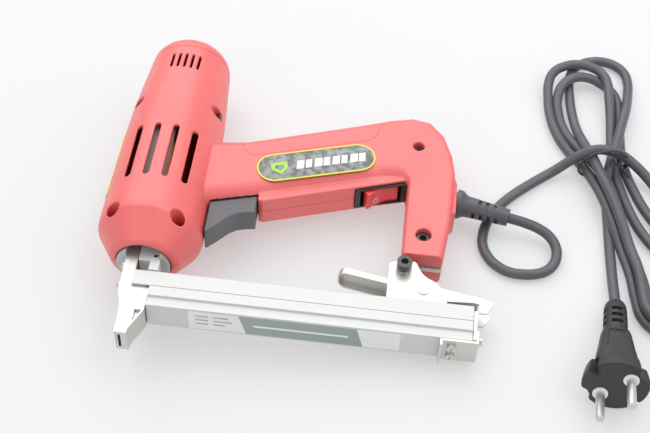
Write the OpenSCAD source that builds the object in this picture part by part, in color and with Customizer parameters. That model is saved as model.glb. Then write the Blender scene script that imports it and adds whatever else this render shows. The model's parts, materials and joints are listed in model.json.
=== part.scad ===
// Electric staple gun with a tubular solenoid barrel, a D-shaped grip and a slide-out staple magazine.
// Each module is drawn in the gun's own plane: X runs back along the magazine, Y up the drive axis,
// Z out of the side. lay() then leans the gun over on its barrel, as it lies on a bench.
// The origin is the middle of the staple exit at the nose tip.

/* [Lie on the bench] */
// Lean of the gun about the barrel, in degrees
lie_angle = 5; // [4.5:0.1:5.5]

/* [Barrel] */
// Widest radius of the barrel
barrel_r = 30.3; // [30:0.1:30.6]
// Offset of the barrel's axis behind the staple slot
barrel_x = 2.5; // [2:0.1:3]
// Height of the seam between the barrel and its cap
seam_y = 205.8; // [205:0.1:206.5]
// Height of the cap's dome
dome_h = 17.5; // [16:0.5:19]
// Wall of the moulded shells
wall = 2.5; // [2.2:0.1:2.8]
// Number of large cooling slots
vents = 4; // [3:1:4]
// Number of small cooling slots
small_vents = 5; // [3:1:5]

/* [Grip] */
// Half the thickness of the grip
grip_hz = 14; // [13.5:0.1:14.5]
// Half the thickness of the rear post
post_hz = 12.4; // [12:0.1:12.8]
// Half the thickness of the strip under the grip
strip_hz = 10; // [9.5:0.1:10.5]

/* [Magazine] */
// Length of the fixed upper rail, measured from the nose
mag_l = 188.3; // [180:0.1:188.3]
// Half the width of the magazine
mag_hz = 10; // [9.8:0.1:10.2]
// Clearance between the sliding and the fixed profile
slide_gap = 0.3; // [0.25:0.05:0.35]
// Width across the staple's crown
staple_w = 11.2; // [11:0.1:11.4]
// Length of the staple's legs
staple_leg = 10; // [6:1:10]

/* [Lead] */
// Diameter of the mains lead
cord_d = 6.2; // [6:0.1:6.4]
// Diameter of a plug pin
pin_d = 4.8; // [4.8:0.1:5]
// Distance between the plug pins
pin_pitch = 19; // [18.6:0.1:19]
// Length of the plug pins
pin_l = 19; // [18:0.5:19]

/* [Hidden] */
eps = 0.01;
seg = 72;
corner_steps = 6;
red = "#d8343a";
black = "#2b2b2d";
nickel = "#d9d6cc";
alu = "#d4d5d3";
steel = "#9a9c9e";
floor_z = -barrel_r - barrel_x * sin(lie_angle);

// Barrel: radius against height, from the nose opening to the seam
nose_open_r = 15.8;
barrel_line = [
    [17.6, 53.2], [19.6, 54.6], [29.8, 70.5], [barrel_r, 73.5], [barrel_r, 80], [29.8, 110], [29.4, 140],
    [28.7, 160], [27.2, 180], [25.4, 200], [25.1, seam_y - 0.5], [24.7, seam_y]
];
seam_r = 24.8;
big_vent = [3.5, 94, 134.5];
big_vent_x = -13.6;
big_vent_pitch = 10.9;
small_vent = [1.5, 185, 198.2];
small_vent_x = -5.4;
small_vent_pitch = 4.1;

// Screw places on the side: [x, y, recess radius]
barrel_screws = [[-20.5, 161, 3.3], [26.9, 161, 3.3], [-17, 72, 3.9], [20, 70.4, 3.9]];
post_screw = [150.8, 151.7, 3.4];
lug_screw = [157.7, 85.1, 4.5];
boss_h = 8;
boss_wall = 1.3;
screw_r = 1.5;

// Grip and post: [inner edge, outer edge, half thickness, corner radius]
grip_line = [
    [[22, 92], [8, 138], grip_hz, 10],
    [[44, 98.5], [34, 143], grip_hz, 10],
    [[62, 103.5], [47.8, 145], grip_hz, 10],
    [[86, 111.2], [71.7, 153.3], grip_hz, 10],
    [[110, 118.9], [95.5, 161.6], grip_hz, 10],
    [[132, 126], [117, 169.2], grip_hz, 10],
    [[139, 127], [133, 174.8], grip_hz - 0.2, 9],
    [[143.5, 126.5], [146, 177.5], grip_hz - 0.6, 7.5],
    [[145.8, 124.5], [157, 175], grip_hz - 1, 6],
    [[146.4, 121.5], [166, 164.5], post_hz + 0.3, 5],
    [[146.4, 118], [171.5, 149], post_hz, 4],
    [[146.4, 112], [173.8, 135], post_hz, 3.5],
    [[146.4, 100], [173, 101], post_hz, 3]
];
post_foot = [[146.4, 70.5], [169.7, 70.5], post_hz, 3];
post_foot_in = [[146.4, 73.5], [169.9, 73.5], post_hz, 3];

// Rocker switch: place and slope of its bezel
switch_at = [116, 117.3];
switch_slope = 17;
switch_l = 31;
rocker_pivot = [15.5, 2];

// Strain relief: root and direction
boot_at = [175.5, 121];
boot_slope = -12;
boot_l = 32.3;

// Latch
pivot_at = [160.2, 48.5];
clamp_at = [148.4, 62.2];
pin_r = 3;
clamp_r = 2.5;

// Solenoid stack on the staple slot's axis
stroke_rest = 118;
plunger_r = 9;
plunger_l = 54;
blade_tip = 33.5;
blade = [1.2, 11];
channel = [1.5, 11.5];

// Plug: middle of its face, yaw, pitch and roll
plug_at = [263.5, -0.6, -12.7];
plug_turn = [80, 0, -3];
plug_roll = 40;
plug_l = 62;
pin_root_r = 1.8;
bush_h = 1;

// Route of the lead in the bench frame: down from the gland, round a loop and on to the hank
lead_r = cord_d / 2;
lead_route = concat([laid([207.1, 114.2, 0])], [
    [216, 112.2, -19.4], [224, 109.8, -21.6], [231, 105.2, -24.2], [235, 98.6, -26.2], [234.6, 91, -27.2],
    [230, 85.2, -27.4], [222.6, 82, -27.4], [214.6, 81, -27.4], [206.4, 82.8, -27.4], [199, 87.6, -27.4],
    [194, 94.8, -27.4], [191.8, 104, -27.4], [193, 115.5, -27.4], [196.5, 124, -27.4], [202, 132, -27.4],
    [209, 140, -27.4], [217, 147.5, -27.4], [225.5, 154.5, -27.2], [234, 160, -25.4], [242, 163.8, -21.6],
    [249.5, 166, -18.6]
]);
tail_route = [
    [265, 118, -27.4], [265.3, 104, -27.4], [265.8, 90, -27.4], [266.2, 76, -26], [266.6, 60.5, -23.4]
];
hank_h = 13;
hank_top = [252, 232, 24];
hank_neck = [262, 160, 10];
hank_foot = [305, 62, 22];
tie_at = [264.5, 152];

// ---- helpers ----
function laid(p) = [
    p[0] * cos(lie_angle) + p[2] * sin(lie_angle), p[1], -p[0] * sin(lie_angle) + p[2] * cos(lie_angle)
];
module lay() { rotate([0, lie_angle, 0]) children(); }

// Slab between two heights of Z, from an outline in the XY plane
module slab(z0, z1, outline) { translate([0, 0, z0]) linear_extrude(z1 - z0) polygon(outline); }
module box(lo, hi) { translate(lo) cube(hi - lo); }
module both_sides() {
    children();
    mirror([0, 0, 1]) children();
}
// Turns a profile of [radius, height] about the barrel's axis
module turned(profile, x = barrel_x, angle = 360) {
    translate([x, 0, 0]) rotate([-90, 0, 0]) rotate([0, 0, angle < 360 ? 180 : 0])
        rotate_extrude(angle = angle, $fn = seg) polygon(profile);
}
module rod_y(x, z, y0, y1, r) {
    translate([x, y0, z]) rotate([-90, 0, 0]) cylinder(r = r, h = y1 - y0, $fn = seg);
}
module rod_z(x, y, z0, z1, r) { translate([x, y, z0]) cylinder(r = r, h = z1 - z0, $fn = seg); }
module rod_x(y, z, x0, x1, r) {
    translate([x0, y, z]) rotate([0, 90, 0]) cylinder(r = r, h = x1 - x0, $fn = seg);
}
module hex_z(x, y, z0, z1, across) {
    translate([x, y, z0]) cylinder(r = across / sqrt(3), h = z1 - z0, $fn = 6);
}

function backwards(v) = [for (i = [len(v) - 1:-1:0]) v[i]];
// Faces of a tube that joins m rings of n points, each ring running clockwise about the way along the tube
function tube_faces(m, n) = concat(
    [[for (j = [n - 1:-1:0]) j]],
    [for (i = [0:m - 2], j = [0:n - 1]) each [
        [i * n + j, i * n + (j + 1) % n, (i + 1) * n + (j + 1) % n],
        [i * n + j, (i + 1) * n + (j + 1) % n, (i + 1) * n + j]
    ]],
    [[for (j = [0:n - 1]) (m - 1) * n + j]]
);
// Coil spring along Y: radius, bottom, top, turns and wire radius
module spring_y(x, z, r, y0, y1, turns, wire, steps = 10, sides = 5) {
    count = turns * steps;
    pitch = (y1 - y0 - 2 * wire) / count;
    points = [for (i = [0:count], j = [0:sides - 1])
        let (a = 360 * i / steps, b = 360 * j / sides, q = r + wire * cos(b))
        [x + q * cos(a), y0 + wire + pitch * i - wire * sin(b), z + q * sin(a)]];
    polyhedron(points, tube_faces(count + 1, sides));
}
function unit(v) = v / norm(v);
// Round tube along a route in the bench frame
module swept(route, r, sides = 10) {
    n = len(route);
    points = [for (i = [0:n - 1], j = [0:sides - 1])
        let (
            t = unit(route[min(i + 1, n - 1)] - route[max(i - 1, 0)]),
            s = unit(cross(t, [0, 0, 1])), u = cross(s, t), a = 360 * j / sides
        )
        route[i] + r * (cos(a) * s + sin(a) * u)];
    polyhedron(points, tube_faces(n, sides));
}

// One cross-section of the grip: a rounded rectangle, or its upper half, set in from the outside by t
function grip_ring(st, t, half) =
    let (
        in = st[0], out = st[1], dir = unit(out - in), mid = (in + out) / 2,
        hu = norm(out - in) / 2 - t, hz = st[2] - t, rc = max(st[3] - t, 0.6),
        quads = half ? 1 : 3,
        arc = [for (k = [0:quads], j = [0:corner_steps])
            let (
                a = 90 * (k + j / corner_steps),
                su = (k == 0 || k == 3) ? 1 : -1, sz = k < 2 ? 1 : -1,
                u = su * (hu - rc) + rc * cos(a), z = sz * (hz - rc) + rc * sin(a)
            ) [mid[0] + u * dir[0], mid[1] + u * dir[1], z]],
        end_out = [mid[0] + hu * dir[0], mid[1] + hu * dir[1], 0],
        end_in = [mid[0] - hu * dir[0], mid[1] - hu * dir[1], 0]
    ) backwards(half ? concat([end_out], arc, [end_in]) : arc);
module grip_loft(line, t, half) {
    rings = [for (st = line) grip_ring(st, t, half)];
    n = len(rings[0]);
    polyhedron([for (r = rings) each r], tube_faces(len(rings), n));
}

// ---- housing ----
module barrel_half() {
    intersection() {
        turned(concat([[nose_open_r, 52.8]], barrel_line, [[0, seam_y], [0, 52.8]]));
        box([-60, 40, 0], [60, 220, 60]);
    }
}
module barrel_cavity() {
    turned(concat(
        [[0, 40], [nose_open_r, 40], [nose_open_r, 54]],
        [for (p = barrel_line) if (p[1] > 54) [p[0] - wall - (p[1] < 72 ? 0.3 : 0), p[1]]],
        [[seam_r - wall, seam_y + 1], [0, seam_y + 1]]
    ));
}
module strip_half() {
    slab(0, strip_hz, [[60.8, 99.6], [63.6, 98.9], [146.6, 126.9], [146.6, 136], [60.8, 113]]);
}
module boot_seat_half() {
    slab(0, 9.5, [[165, 101], [172.4, 103], [175.4, 106.5], [175.4, 128], [173, 134.5], [165, 136]]);
}
module in_switch_frame() { translate(switch_at) rotate([0, 0, switch_slope]) children(); }
module in_boot_frame() { translate(boot_at) rotate([0, 0, boot_slope]) children(); }
module vent_row(spec, x0, pitch, count) {
    for (i = [0:count - 1]) {
        x = x0 + i * pitch;
        r = spec[0] / 2;
        box([x - r, spec[1] + r, 4], [x + r, spec[2] - r, 40]);
        for (y = [spec[1] + r, spec[2] - r]) rod_z(x, y, 4, 40, r);
    }
}
module post_marks() {
    // Shallow engraved outline on the post's side
    difference() {
        box([155.5, 95.5, post_hz - 0.3], [163.3, 137, post_hz + 2]);
        box([156, 96, post_hz - 1], [162.8, 136.5, post_hz + 3]);
    }
}
// Half a shell; the recessed half carries the screw heads
module shell_half(recessed) {
    difference() {
        union() {
            difference() {
                union() {
                    barrel_half();
                    grip_loft(concat(grip_line, [post_foot]), 0, true);
                    strip_half();
                    boot_seat_half();
                }
                barrel_cavity();
                grip_loft(concat(grip_line, [post_foot_in]), wall, false);
            }
            intersection() {
                barrel_half();
                for (s = barrel_screws) rod_z(s[0], s[1], 0, 40, s[2] + boss_wall);
            }
            rod_z(post_screw[0], post_screw[1], 0, post_hz, post_screw[2] + boss_wall);
            rod_z(lug_screw[0], lug_screw[1], 1.55, post_hz - 0.4, lug_screw[2] + boss_wall);
            // Ribs that hold the solenoid frame, and the rib over the trigger spring
            intersection() {
                union() {
                    turned([[20, 85.6], [28.5, 85.6], [28.5, 88.6], [20, 88.6]]);
                    turned([[18, 155], [27, 155], [27, 157.6], [18, 157.6]]);
                }
                barrel_half();
            }
            box([34, 120.4, 0], [47, 122.4, 13]);
        }
        for (s = concat(barrel_screws, [post_screw])) {
            if (recessed) rod_z(s[0], s[1], boss_h, 40, s[2]);
            rod_z(s[0], s[1], -1, recessed ? 40 : boss_h - 1, screw_r);
        }
        if (recessed) rod_z(lug_screw[0], lug_screw[1], 4, 40, lug_screw[2]);
        rod_z(lug_screw[0], lug_screw[1], -1, recessed ? 8 : 6, clamp_r);
        vent_row(big_vent, big_vent_x, big_vent_pitch, vents);
        vent_row(small_vent, small_vent_x, small_vent_pitch, small_vents);
        box([32.9, 60, -1], [60.8, 112, 8.35]);
        in_switch_frame() box([-0.05, -8, -1], [switch_l + 0.05, 22.05, 8.05]);
        in_boot_frame() translate([-12, 0, 0]) rotate([0, 90, 0]) cylinder(r = 6.8, h = 20, $fn = seg);
        box([130, 60, -1], [180, 104, 1.55]);
        post_marks();
    }
}
module housing_upper() { color(red) lay() shell_half(true); }
module housing_lower() { color(red) lay() mirror([0, 0, 1]) shell_half(false); }

function dome(r, h, from) = [for (a = [0:9:90]) [r * cos(a), from + h * sin(a)]];
module barrel_cap() {
    inner = dome(seam_r - wall, dome_h - wall, seam_y);
    color(red) lay() {
        difference() {
            turned(concat(dome(seam_r, dome_h, seam_y), [[0, seam_y]]));
            turned(concat([[0, seam_y - 1], [seam_r - wall, seam_y - 1]], inner));
        }
        // Spigot that centres the cap in the barrel
        turned([[20.4, 200], [22.2, 200], [22.2, seam_y + 0.5], [20.4, seam_y + 1.5]]);
        rod_y(0, 0, 178, 220.6, 5);
    }
}
badge_at = [91.5, 128.8];
badge_slope = 17.2;
module handle_badge() {
    color("#8a9396") lay() translate([badge_at[0], badge_at[1], grip_hz]) rotate([0, 0, badge_slope])
        linear_extrude(0.8) hull() for (s = [-1, 1]) translate([25 * s, 0]) circle(r = 10.5, $fn = 32);
}
module front_badge() {
    // Curved label on the front of the barrel
    color("#b9bb3f") lay() intersection() {
        turned([[30.15, 92], [30.6, 92], [30.3, 110], [29.95, 138], [29.45, 138], [29.85, 110]]);
        box([-40, 90, -10], [-15, 140, 10]);
    }
}
module housing_screws() {
    color(steel) lay() for (s = concat(barrel_screws, [post_screw])) difference() {
        union() {
            rod_z(s[0], s[1], boss_h, boss_h + 1.8, 2.8);
            rod_z(s[0], s[1], -boss_h + 1.2, boss_h + 0.2, screw_r);
        }
        box([s[0] - 0.4, s[1] - 1.9, boss_h + 0.8], [s[0] + 0.4, s[1] + 1.9, boss_h + 3]);
        box([s[0] - 1.9, s[1] - 0.4, boss_h + 0.8], [s[0] + 1.9, s[1] + 0.4, boss_h + 3]);
    }
}
// Socket cap screw along Z: head bottom at z, head radius, head height and shank end
module cap_screw(p, z, head_r, head_h, shank_to, shank_r, key) {
    difference() {
        union() {
            rod_z(p[0], p[1], z, z + head_h, head_r);
            rod_z(p[0], p[1], shank_to, z + 0.5, shank_r);
        }
        hex_z(p[0], p[1], z + head_h - 2.6, z + head_h + 1, key);
    }
}
module post_cap_screw() { color(black) lay() cap_screw(lug_screw, 4, 4.2, 5, -5.8, clamp_r, 4); }

// Steel lug that ties the post to the latch bracket
module foot_lug() {
    color(nickel) lay() difference() {
        slab(-1.5, 1.5, [
            [149.5, 98], [166, 98], [169.9, 73.4], [169.9, 69.6], [154.8, 69.6], [159.4, 62.5],
            [164.4, 56.4],
            [164.4, 44], [152, 44], [150, 52], [144, 57.5], [144, 66.5], [146.4, 70.4], [146.4, 73.4]
        ]);
        rod_z(lug_screw[0], lug_screw[1], -3, 3, clamp_r);
        rod_z(clamp_at[0], clamp_at[1], -3, 3, clamp_r);
        rod_z(pivot_at[0], pivot_at[1], -3, 3, pin_r);
    }
}

// ---- nose ----
nose_hz = 8.1;
module driver_channel(y0, y1) {
    box([-channel[0] / 2, y0, -channel[1] / 2], [channel[0] / 2, y1, channel[1] / 2]);
}
module nose_body() {
    color(nickel) lay() difference() {
        union() {
            slab(-nose_hz, nose_hz, [
                [-1.6, 0], [3.9, 0], [4.4, 0.8], [4.4, 3], [10.6, 16], [10.6, 31.1], [-0.2, 31.1],
                [-0.2, 60.6],
                [-3, 60.6], [-3, 26], [-1.6, 20]
            ]);
            both_sides() box([-3, 31, 5.9], [0.7, 60.6, nose_hz]);
        }
        driver_channel(-1, 62);
        box([0.7, 18.3, -6], [12, 34, 6]);
        both_sides() slab(nose_hz - 2, nose_hz + 1, [[5.6, 8], [9.4, 15.8], [5.6, 15.8]]);
    }
}
module front_plate() {
    color(nickel) lay() slab(-nose_hz, nose_hz, [
        [-2.6, 0.5], [-2.4, 0], [-1.65, 0], [-1.65, 20], [-3.05, 26], [-3.05, 60.9], [-5.6, 60.9],
        [-6.1, 60.4],
        [-6.1, 27.5], [-5.2, 24.5], [-3.6, 19.5], [-2.9, 14]
    ]);
}
module front_plate_screws() {
    // Domed screw heads across the front of the nose
    color(nickel) lay() for (z = [-5.2, 5.2], y = [32.5, 45.5]) translate([-6.1, y, z]) rotate([0, -90, 0])
        difference() {
            rotate_extrude($fn = seg) polygon([[0, 0], [2.7, 0], [2.6, 0.8], [2, 1.6], [1.1, 2], [0, 2.1]]);
            box([-0.3, -1.6, 1.2], [0.3, 1.6, 3]);
        }
}
module nose_head_block() {
    color("#e3e2dc") lay() difference() {
        slab(-8, 8, [[1, 49], [7.6, 49], [7.6, 41.45], [13, 41.45], [13, 63.4], [1, 63.4]]);
        slab(5.9, 9, [[7, 40], [14, 40], [14, 43.2], [7, 43.2]]);
        slab(-9, -5.9, [[7, 40], [14, 40], [14, 43.2], [7, 43.2]]);
        rod_z(10.2, 53, -9, 9, 1.2);
        box([0, 40, -channel[1] / 2], [channel[0] / 2, 64, channel[1] / 2]);
    }
}
module set_screw() {
    color(black) lay() difference() {
        rod_z(10.2, 53, 1, 7.4, 1.2);
        hex_z(10.2, 53, 5.8, 8, 1.3);
    }
}
module nose_collar() {
    color("#8f9493") lay() difference() {
        turned([[0, 50.6], [14.9, 50.6], [15.4, 51.1], [15.4, 57.8], [18.2, 57.8], [18.2, 61], [14, 61],
            [14, 65.9], [0, 65.9]]);
        // Slot for the front plate and the head block, open at the top
        box([-6.15, 49, -8.15], [13.05, 63.45, 19]);
        driver_channel(60, 70);
    }
}
module driver_blade() {
    color(steel) lay()
        box([-blade[0] / 2, blade_tip, -blade[1] / 2], [blade[0] / 2, stroke_rest + 4, blade[1] / 2]);
}
module plunger() {
    color(steel) lay() difference() {
        turned([[0, stroke_rest], [plunger_r - 1, stroke_rest], [plunger_r, stroke_rest + 1],
            [plunger_r, stroke_rest + plunger_l - 1], [plunger_r - 1, stroke_rest + plunger_l],
            [0, stroke_rest + plunger_l]], 0);
        box([-blade[0] / 2, stroke_rest - 1, -blade[1] / 2], [blade[0] / 2, stroke_rest + 4, blade[1] / 2]);
    }
}
module return_spring() { color(steel) lay() spring_y(0, 0, 7.4, 66, stroke_rest - 0.1, 12, 0.6); }
module coil_winding() {
    color("#b5672f") lay() turned([[11.1, 96], [20.5, 96], [20.5, 148], [11.1, 148]], 0);
}
module coil_bobbin() {
    color("#e8e4d8") lay() turned([
        [9.3, 92.9], [21.5, 92.9], [21.5, 95.9], [11, 95.9], [11, 148.1], [21.5, 148.1], [21.5, 151.1],
        [9.3, 151.1]
    ], 0);
}
module coil_yoke() {
    color(steel) lay() {
        turned([[9.4, 88.7], [22.5, 88.7], [22.5, 92.8], [9.4, 92.8]], 0);
        turned([[9.4, 151.2], [22.5, 151.2], [22.5, 154.9], [9.4, 154.9]], 0);
        both_sides() box([-7, 88.7, 21.6], [7, 154.9, 23.2]);
    }
}
module rear_bumper() {
    color(black) lay() turned([[0, 172.6], [7, 172.6], [8, 173.4], [8, 178], [0, 178]], 0);
}

// ---- magazine ----
mag_top = 41.4;
mag_split = 31.4;
mag_bottom = 18.7;
low_top = mag_split - slide_gap;
mag_x0 = 0.9;
low_x0 = 10.9;
module along_x(x0, x1, section) {
    // Section given as [z, y]
    translate([x0, 0, 0]) rotate([0, 90, 0]) linear_extrude(x1 - x0) polygon([for (p = section) [-p[0], p[1]]]);
}
module magazine_upper() {
    color(alu) lay() difference() {
        along_x(mag_x0, mag_l, [
            [-mag_hz, mag_split], [-mag_hz, mag_top - 0.8], [-mag_hz + 0.8, mag_top],
            [mag_hz - 0.8, mag_top],
            [mag_hz, mag_top - 0.8], [mag_hz, mag_split]
        ]);
        box([0, mag_split - 1, -6.3], [mag_l + 1, 36, 6.3]);
        both_sides() box([low_x0 - 2, mag_split - 1, 7.2], [mag_l + 1, 33.9, 8.8]);
    }
}
module magazine_lower() {
    z1 = mag_hz;
    z2 = mag_hz - 0.8;
    side = [
        [z2, mag_bottom], [z2, 21], [z2 - 0.6, 21.3], [z2 - 0.6, 24.5], [z1, 25], [z1, low_top],
        [8.6, low_top],
        [8.6, 33.5], [7.4, 33.5], [7.4, low_top], [6.5, low_top], [6.5, 20.7]
    ];
    other = [for (p = backwards(side)) [-p[0], p[1]]];
    color(alu) lay() along_x(low_x0, mag_l, concat(side, other));
}
rail_hz = 4.9;
rail_top = 31.8;
module staple_rail() {
    color(nickel) lay() difference() {
        along_x(1.2, mag_l - 0.1, [
            [-rail_hz, 20.71], [-rail_hz, rail_top], [rail_hz, rail_top], [rail_hz, 20.71],
            [rail_hz - 0.8, 20.71], [rail_hz - 0.8, rail_top - 0.8], [0.8 - rail_hz, rail_top - 0.8],
            [0.8 - rail_hz, 20.71]
        ]);
        box([58, rail_top - 2, -1.3], [150, rail_top + 1, 1.3]);
    }
}
staple_end = 60.8;
module staple_strip() {
    // Glued strip of staples: crowns on the rail, legs down its sides
    top = 32.5;
    hw = staple_w / 2;
    color("#c9ccd0") lay() along_x(0.8, staple_end, [
        [-hw, top - staple_leg], [-hw, top], [hw, top], [hw, top - staple_leg],
        [hw - 0.6, top - staple_leg],
        [hw - 0.6, top - 0.6], [0.6 - hw, top - 0.6], [0.6 - hw, top - staple_leg]
    ]);
}
module pusher() {
    color(steel) lay() {
        along_x(61, 76, [
            [-5.9, 23.5], [-5.9, 33], [5.9, 33], [5.9, 23.5], [5.1, 23.5], [5.1, 32], [-5.1, 32],
            [-5.1, 23.5]
        ]);
        box([63, 26, -1], [72, 32.2, 1]);
        rod_x(26.2, 0, 66, 75.8, 3);
    }
}
module pusher_spring() {
    // Long push spring inside the rail, from the pusher's foot to the end plate
    color(steel) lay() translate([0, 26.2, 0]) rotate([0, 0, -90])
        spring_y(0, 0, 2.8, 75.9, 188, 22, 0.4, 8, 5);
}
module end_plate() {
    color(nickel) lay() difference() {
        box([mag_l + 0.3, 19.2, -9.2], [mag_l + 2.3, 38.2, 9.2]);
        rod_x(21.6, 5, mag_l - 1, mag_l + 4, 1.4);
    }
    // Foot that closes the lower profile
    color(nickel) lay() box([mag_l - 0.05, 20.8, -4], [mag_l + 0.35, 30.9, 4]);
}
module end_screw() {
    color(nickel) lay() difference() {
        union() {
            rod_x(21.6, 5, mag_l + 0.3, mag_l + 3.5, 1.4);
            rod_x(21.6, 5, mag_l + 3.5, mag_l + 5.3, 2.6);
        }
        box([mag_l + 4.6, 21.2, 3], [mag_l + 6, 22, 7]);
    }
}
module pull_bracket() {
    color(nickel) lay() difference() {
        union() {
            box([171, 17.2, -9], [mag_l + 3.5, mag_bottom, 9]);
            box([171, 14.2, -9], [172.4, 17.3, 9]);
            box([mag_l + 2.3, 17.2, -9], [mag_l + 3.5, 25.5, 9]);
        }
        rod_x(21.6, 5, mag_l, mag_l + 5, 1.4);
        for (z = [-4.5, 3.5]) rod_y(177.5, z, 10, 20, 1.4);
    }
}
module pull_bracket_screws() {
    color(nickel) lay() for (z = [-4.5, 3.5]) difference() {
        union() {
            rod_y(177.5, z, 15.4, 17.2, 2.6);
            rod_y(177.5, z, 15.4, mag_bottom, 1.4);
        }
        box([177.1, 15, z - 2], [177.9, 16, z + 2]);
    }
}
module magazine_label() {
    color("#eef0ee") lay() box([34, mag_bottom - 0.2, -8], [150, mag_bottom, 8]);
}

// ---- latch ----
ear_line = [
    [140, 41.42], [140, 64], [140.6, 65.5], [142.2, 66.3], [152.2, 67.9], [154.3, 67.6], [155.6, 66.3],
    [156.6, 63.8], [158, 61.2], [159.9, 58.8], [162.4, 56.9], [165.2, 55.6], [167.9, 53.7], [170, 51],
    [172.3, 47.4], [173.4, 45.2], [173.4, 41.42]
];
module latch_bracket() {
    color(nickel) lay() difference() {
        slab(-9, 9, ear_line);
        box([130, mag_top + 1.2, -7.5], [180, 80, 7.5]);
        rod_z(pivot_at[0], pivot_at[1], -12, 12, pin_r);
        rod_z(clamp_at[0], clamp_at[1], -12, 12, clamp_r);
    }
}
module latch_pin() {
    color(nickel) lay() {
        rod_z(pivot_at[0], pivot_at[1], -9.6, 9.6, pin_r);
    }
}
arm_line = [
    [141.5, 55.6], [152, 53.6], [160, 54], [169.7, 52.9], [191.9, 49.1], [197.6, 47.2], [199.2, 45.6],
    [198.2, 43.2], [195.4, 38.8], [191.4, 38.8], [191.4, 44.6], [188, 45.2], [173.7, 44.2], [164, 43.8],
    [156.5, 43.8], [150.5, 47.6], [141.5, 50.6]
];
tab_at = [112.6, 59.4];
tab_slope = -9.7;
tab_l = 29.6;
tab_rim = 2.8;
module in_tab_frame() { translate(tab_at) rotate([0, 0, tab_slope]) children(); }
// Plan of the thumb tab: half width hw, front corners of radius r, from y0 to y1 along its thickness
module tab_plan(hw, r, y0, y1, l) {
    box([r, y0, -hw], [l, y1, hw]);
    box([0, y0, r - hw], [r + 0.1, y1, hw - r]);
    for (s = [-1, 1]) rod_y(r, s * (hw - r), y0, y1, r);
}
module latch_lever() {
    color(nickel) lay() difference() {
        union() {
            both_sides() slab(5.8, 7, arm_line);
            // Bridge behind the pivot, and the thumb tab in front
            slab(-5.9, 5.9, [[172, 52.5], [191.5, 49.2], [191.3, 48.1], [171.8, 51.4]]);
            in_tab_frame() difference() {
                tab_plan(7, 5, -tab_rim, 1, tab_l);
                translate([1, 0, 0]) tab_plan(6, 4, -tab_rim - 1, 0, tab_l + 2);
            }
        }
        rod_z(pivot_at[0], pivot_at[1], -12, 12, pin_r + 0.05);
    }
}
module latch_spring() {
    // Torsion spring round the pivot, with one leg up the lug and one along the lever
    color(steel) lay() translate([pivot_at[0], pivot_at[1], 1.6]) rotate([90, 0, 0])
        spring_y(0, 0, 3.8, 0, 3.9, 4, 0.4, 12, 5);
}
module latch_cap_screw() { color(black) lay() cap_screw(clamp_at, 10.6, 4.25, 5, -12.6, clamp_r, 4); }
module latch_spacers() {
    color(nickel) lay() difference() {
        union() {
            hex_z(clamp_at[0], clamp_at[1], 9, 10.6, 7);
            rod_z(clamp_at[0], clamp_at[1], 1.5, 7.5, 3.6);
            rod_z(clamp_at[0], clamp_at[1], -7.5, -1.5, 3.6);
            hex_z(clamp_at[0], clamp_at[1], -13, -9, 8);
        }
        rod_z(clamp_at[0], clamp_at[1], -20, 20, clamp_r);
    }
}

// ---- trigger and switches ----
trigger_hz = 8;
module trigger() {
    color("#4a4c50") lay() {
        slab(-trigger_hz, trigger_hz, [
            [33.4, 74.4], [34.6, 74.2], [36.5, 76.2], [41, 81], [44, 84.6], [46.6, 87], [49, 88.8],
            [51.7, 89.9],
            [56, 91], [60.2, 91.6], [60.2, 104], [33.4, 96]
        ]);
        slab(-6, 6, [[36, 90], [57, 96], [57, 108], [36, 108]]);
    }
}
module trigger_spring() { color(steel) lay() spring_y(41, 0, 2.6, 108, 120.3, 6, 0.4); }
module micro_switch() {
    color(black) lay() {
        box([48.5, 115, -3.2], [66.5, 125.2, 3.2]);
        rod_y(52, 0, 113.7, 115.1, 1);
        for (x = [51, 57.5, 64]) box([x - 0.4, 125.1, -1.5], [x + 0.4, 129, 1.5]);
    }
}
module switch_body() {
    px = rocker_pivot[0];
    py = rocker_pivot[1];
    color(black) lay() in_switch_frame() difference() {
        union() {
            box([0, -1.6, -8], [switch_l, 22, 8]);
            for (x = [8, 15.5, 23]) box([x - 0.4, 21.9, -2.4], [x + 0.4, 28, 2.4]);
        }
        box([px - 12.4, -3, -6.8], [px + 12.4, py + 5.5, 6.8]);
        rod_z(px, py, -7.5, 7.5, 1.55);
    }
}
rocker_tilt = 13;
rocker_half = [
    [0, -3], [2.5, -3.1], [5, -3.5], [8.6, -4.5], [9.6, -4.7], [10.2, -4.2], [10.6, -2], [10.4, 0.4], [5, 3]
];
rocker_line = concat(rocker_half, [for (p = backwards(rocker_half)) if (p[0] > 0) [-p[0], p[1]]]);
module rocker() {
    color("#d3262a") lay() in_switch_frame() translate([rocker_pivot[0], rocker_pivot[1], 0]) {
        rotate([0, 0, rocker_tilt]) slab(-6.5, 6.5, rocker_line);
        rod_z(0, 0, -7.4, 7.4, 1.5);
    }
}
module control_board() {
    color("#2f6b45") lay() translate([84, 133.9, 0]) rotate([0, 0, badge_slope]) {
        box([-17, -1.6, -9], [21, 0, 9]);
        box([-14, 0, -5], [-3, 9, 5]);
        rod_y(6, 0, -0.1, 9, 4);
        box([12, 0, -6], [19, 6, 6]);
    }
}
module strain_relief() {
    profile = [
        [0, -9], [9, -9], [9, -5.2], [6.8, -5.2], [6.8, 0], [8.65, 0.1], [8.65, 3], [6.6, 6], [6.3, 8],
        [5.1, boot_l], [0, boot_l]
    ];
    color(black) lay() in_boot_frame() difference() {
        rotate([0, 90, 0]) rotate_extrude($fn = seg) polygon(profile);
        for (s = [-1, 1], x = [12:4.6:26])
            box([x - 0.9, s > 0 ? 3.6 : -8, -2.4], [x + 0.9, s > 0 ? 8 : -3.6, 2.4]);
        both_sides() for (x = [14.3:4.6:26]) box([x - 0.9, -2.4, 4.2], [x + 0.9, 2.4, 8]);
    }
}
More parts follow.
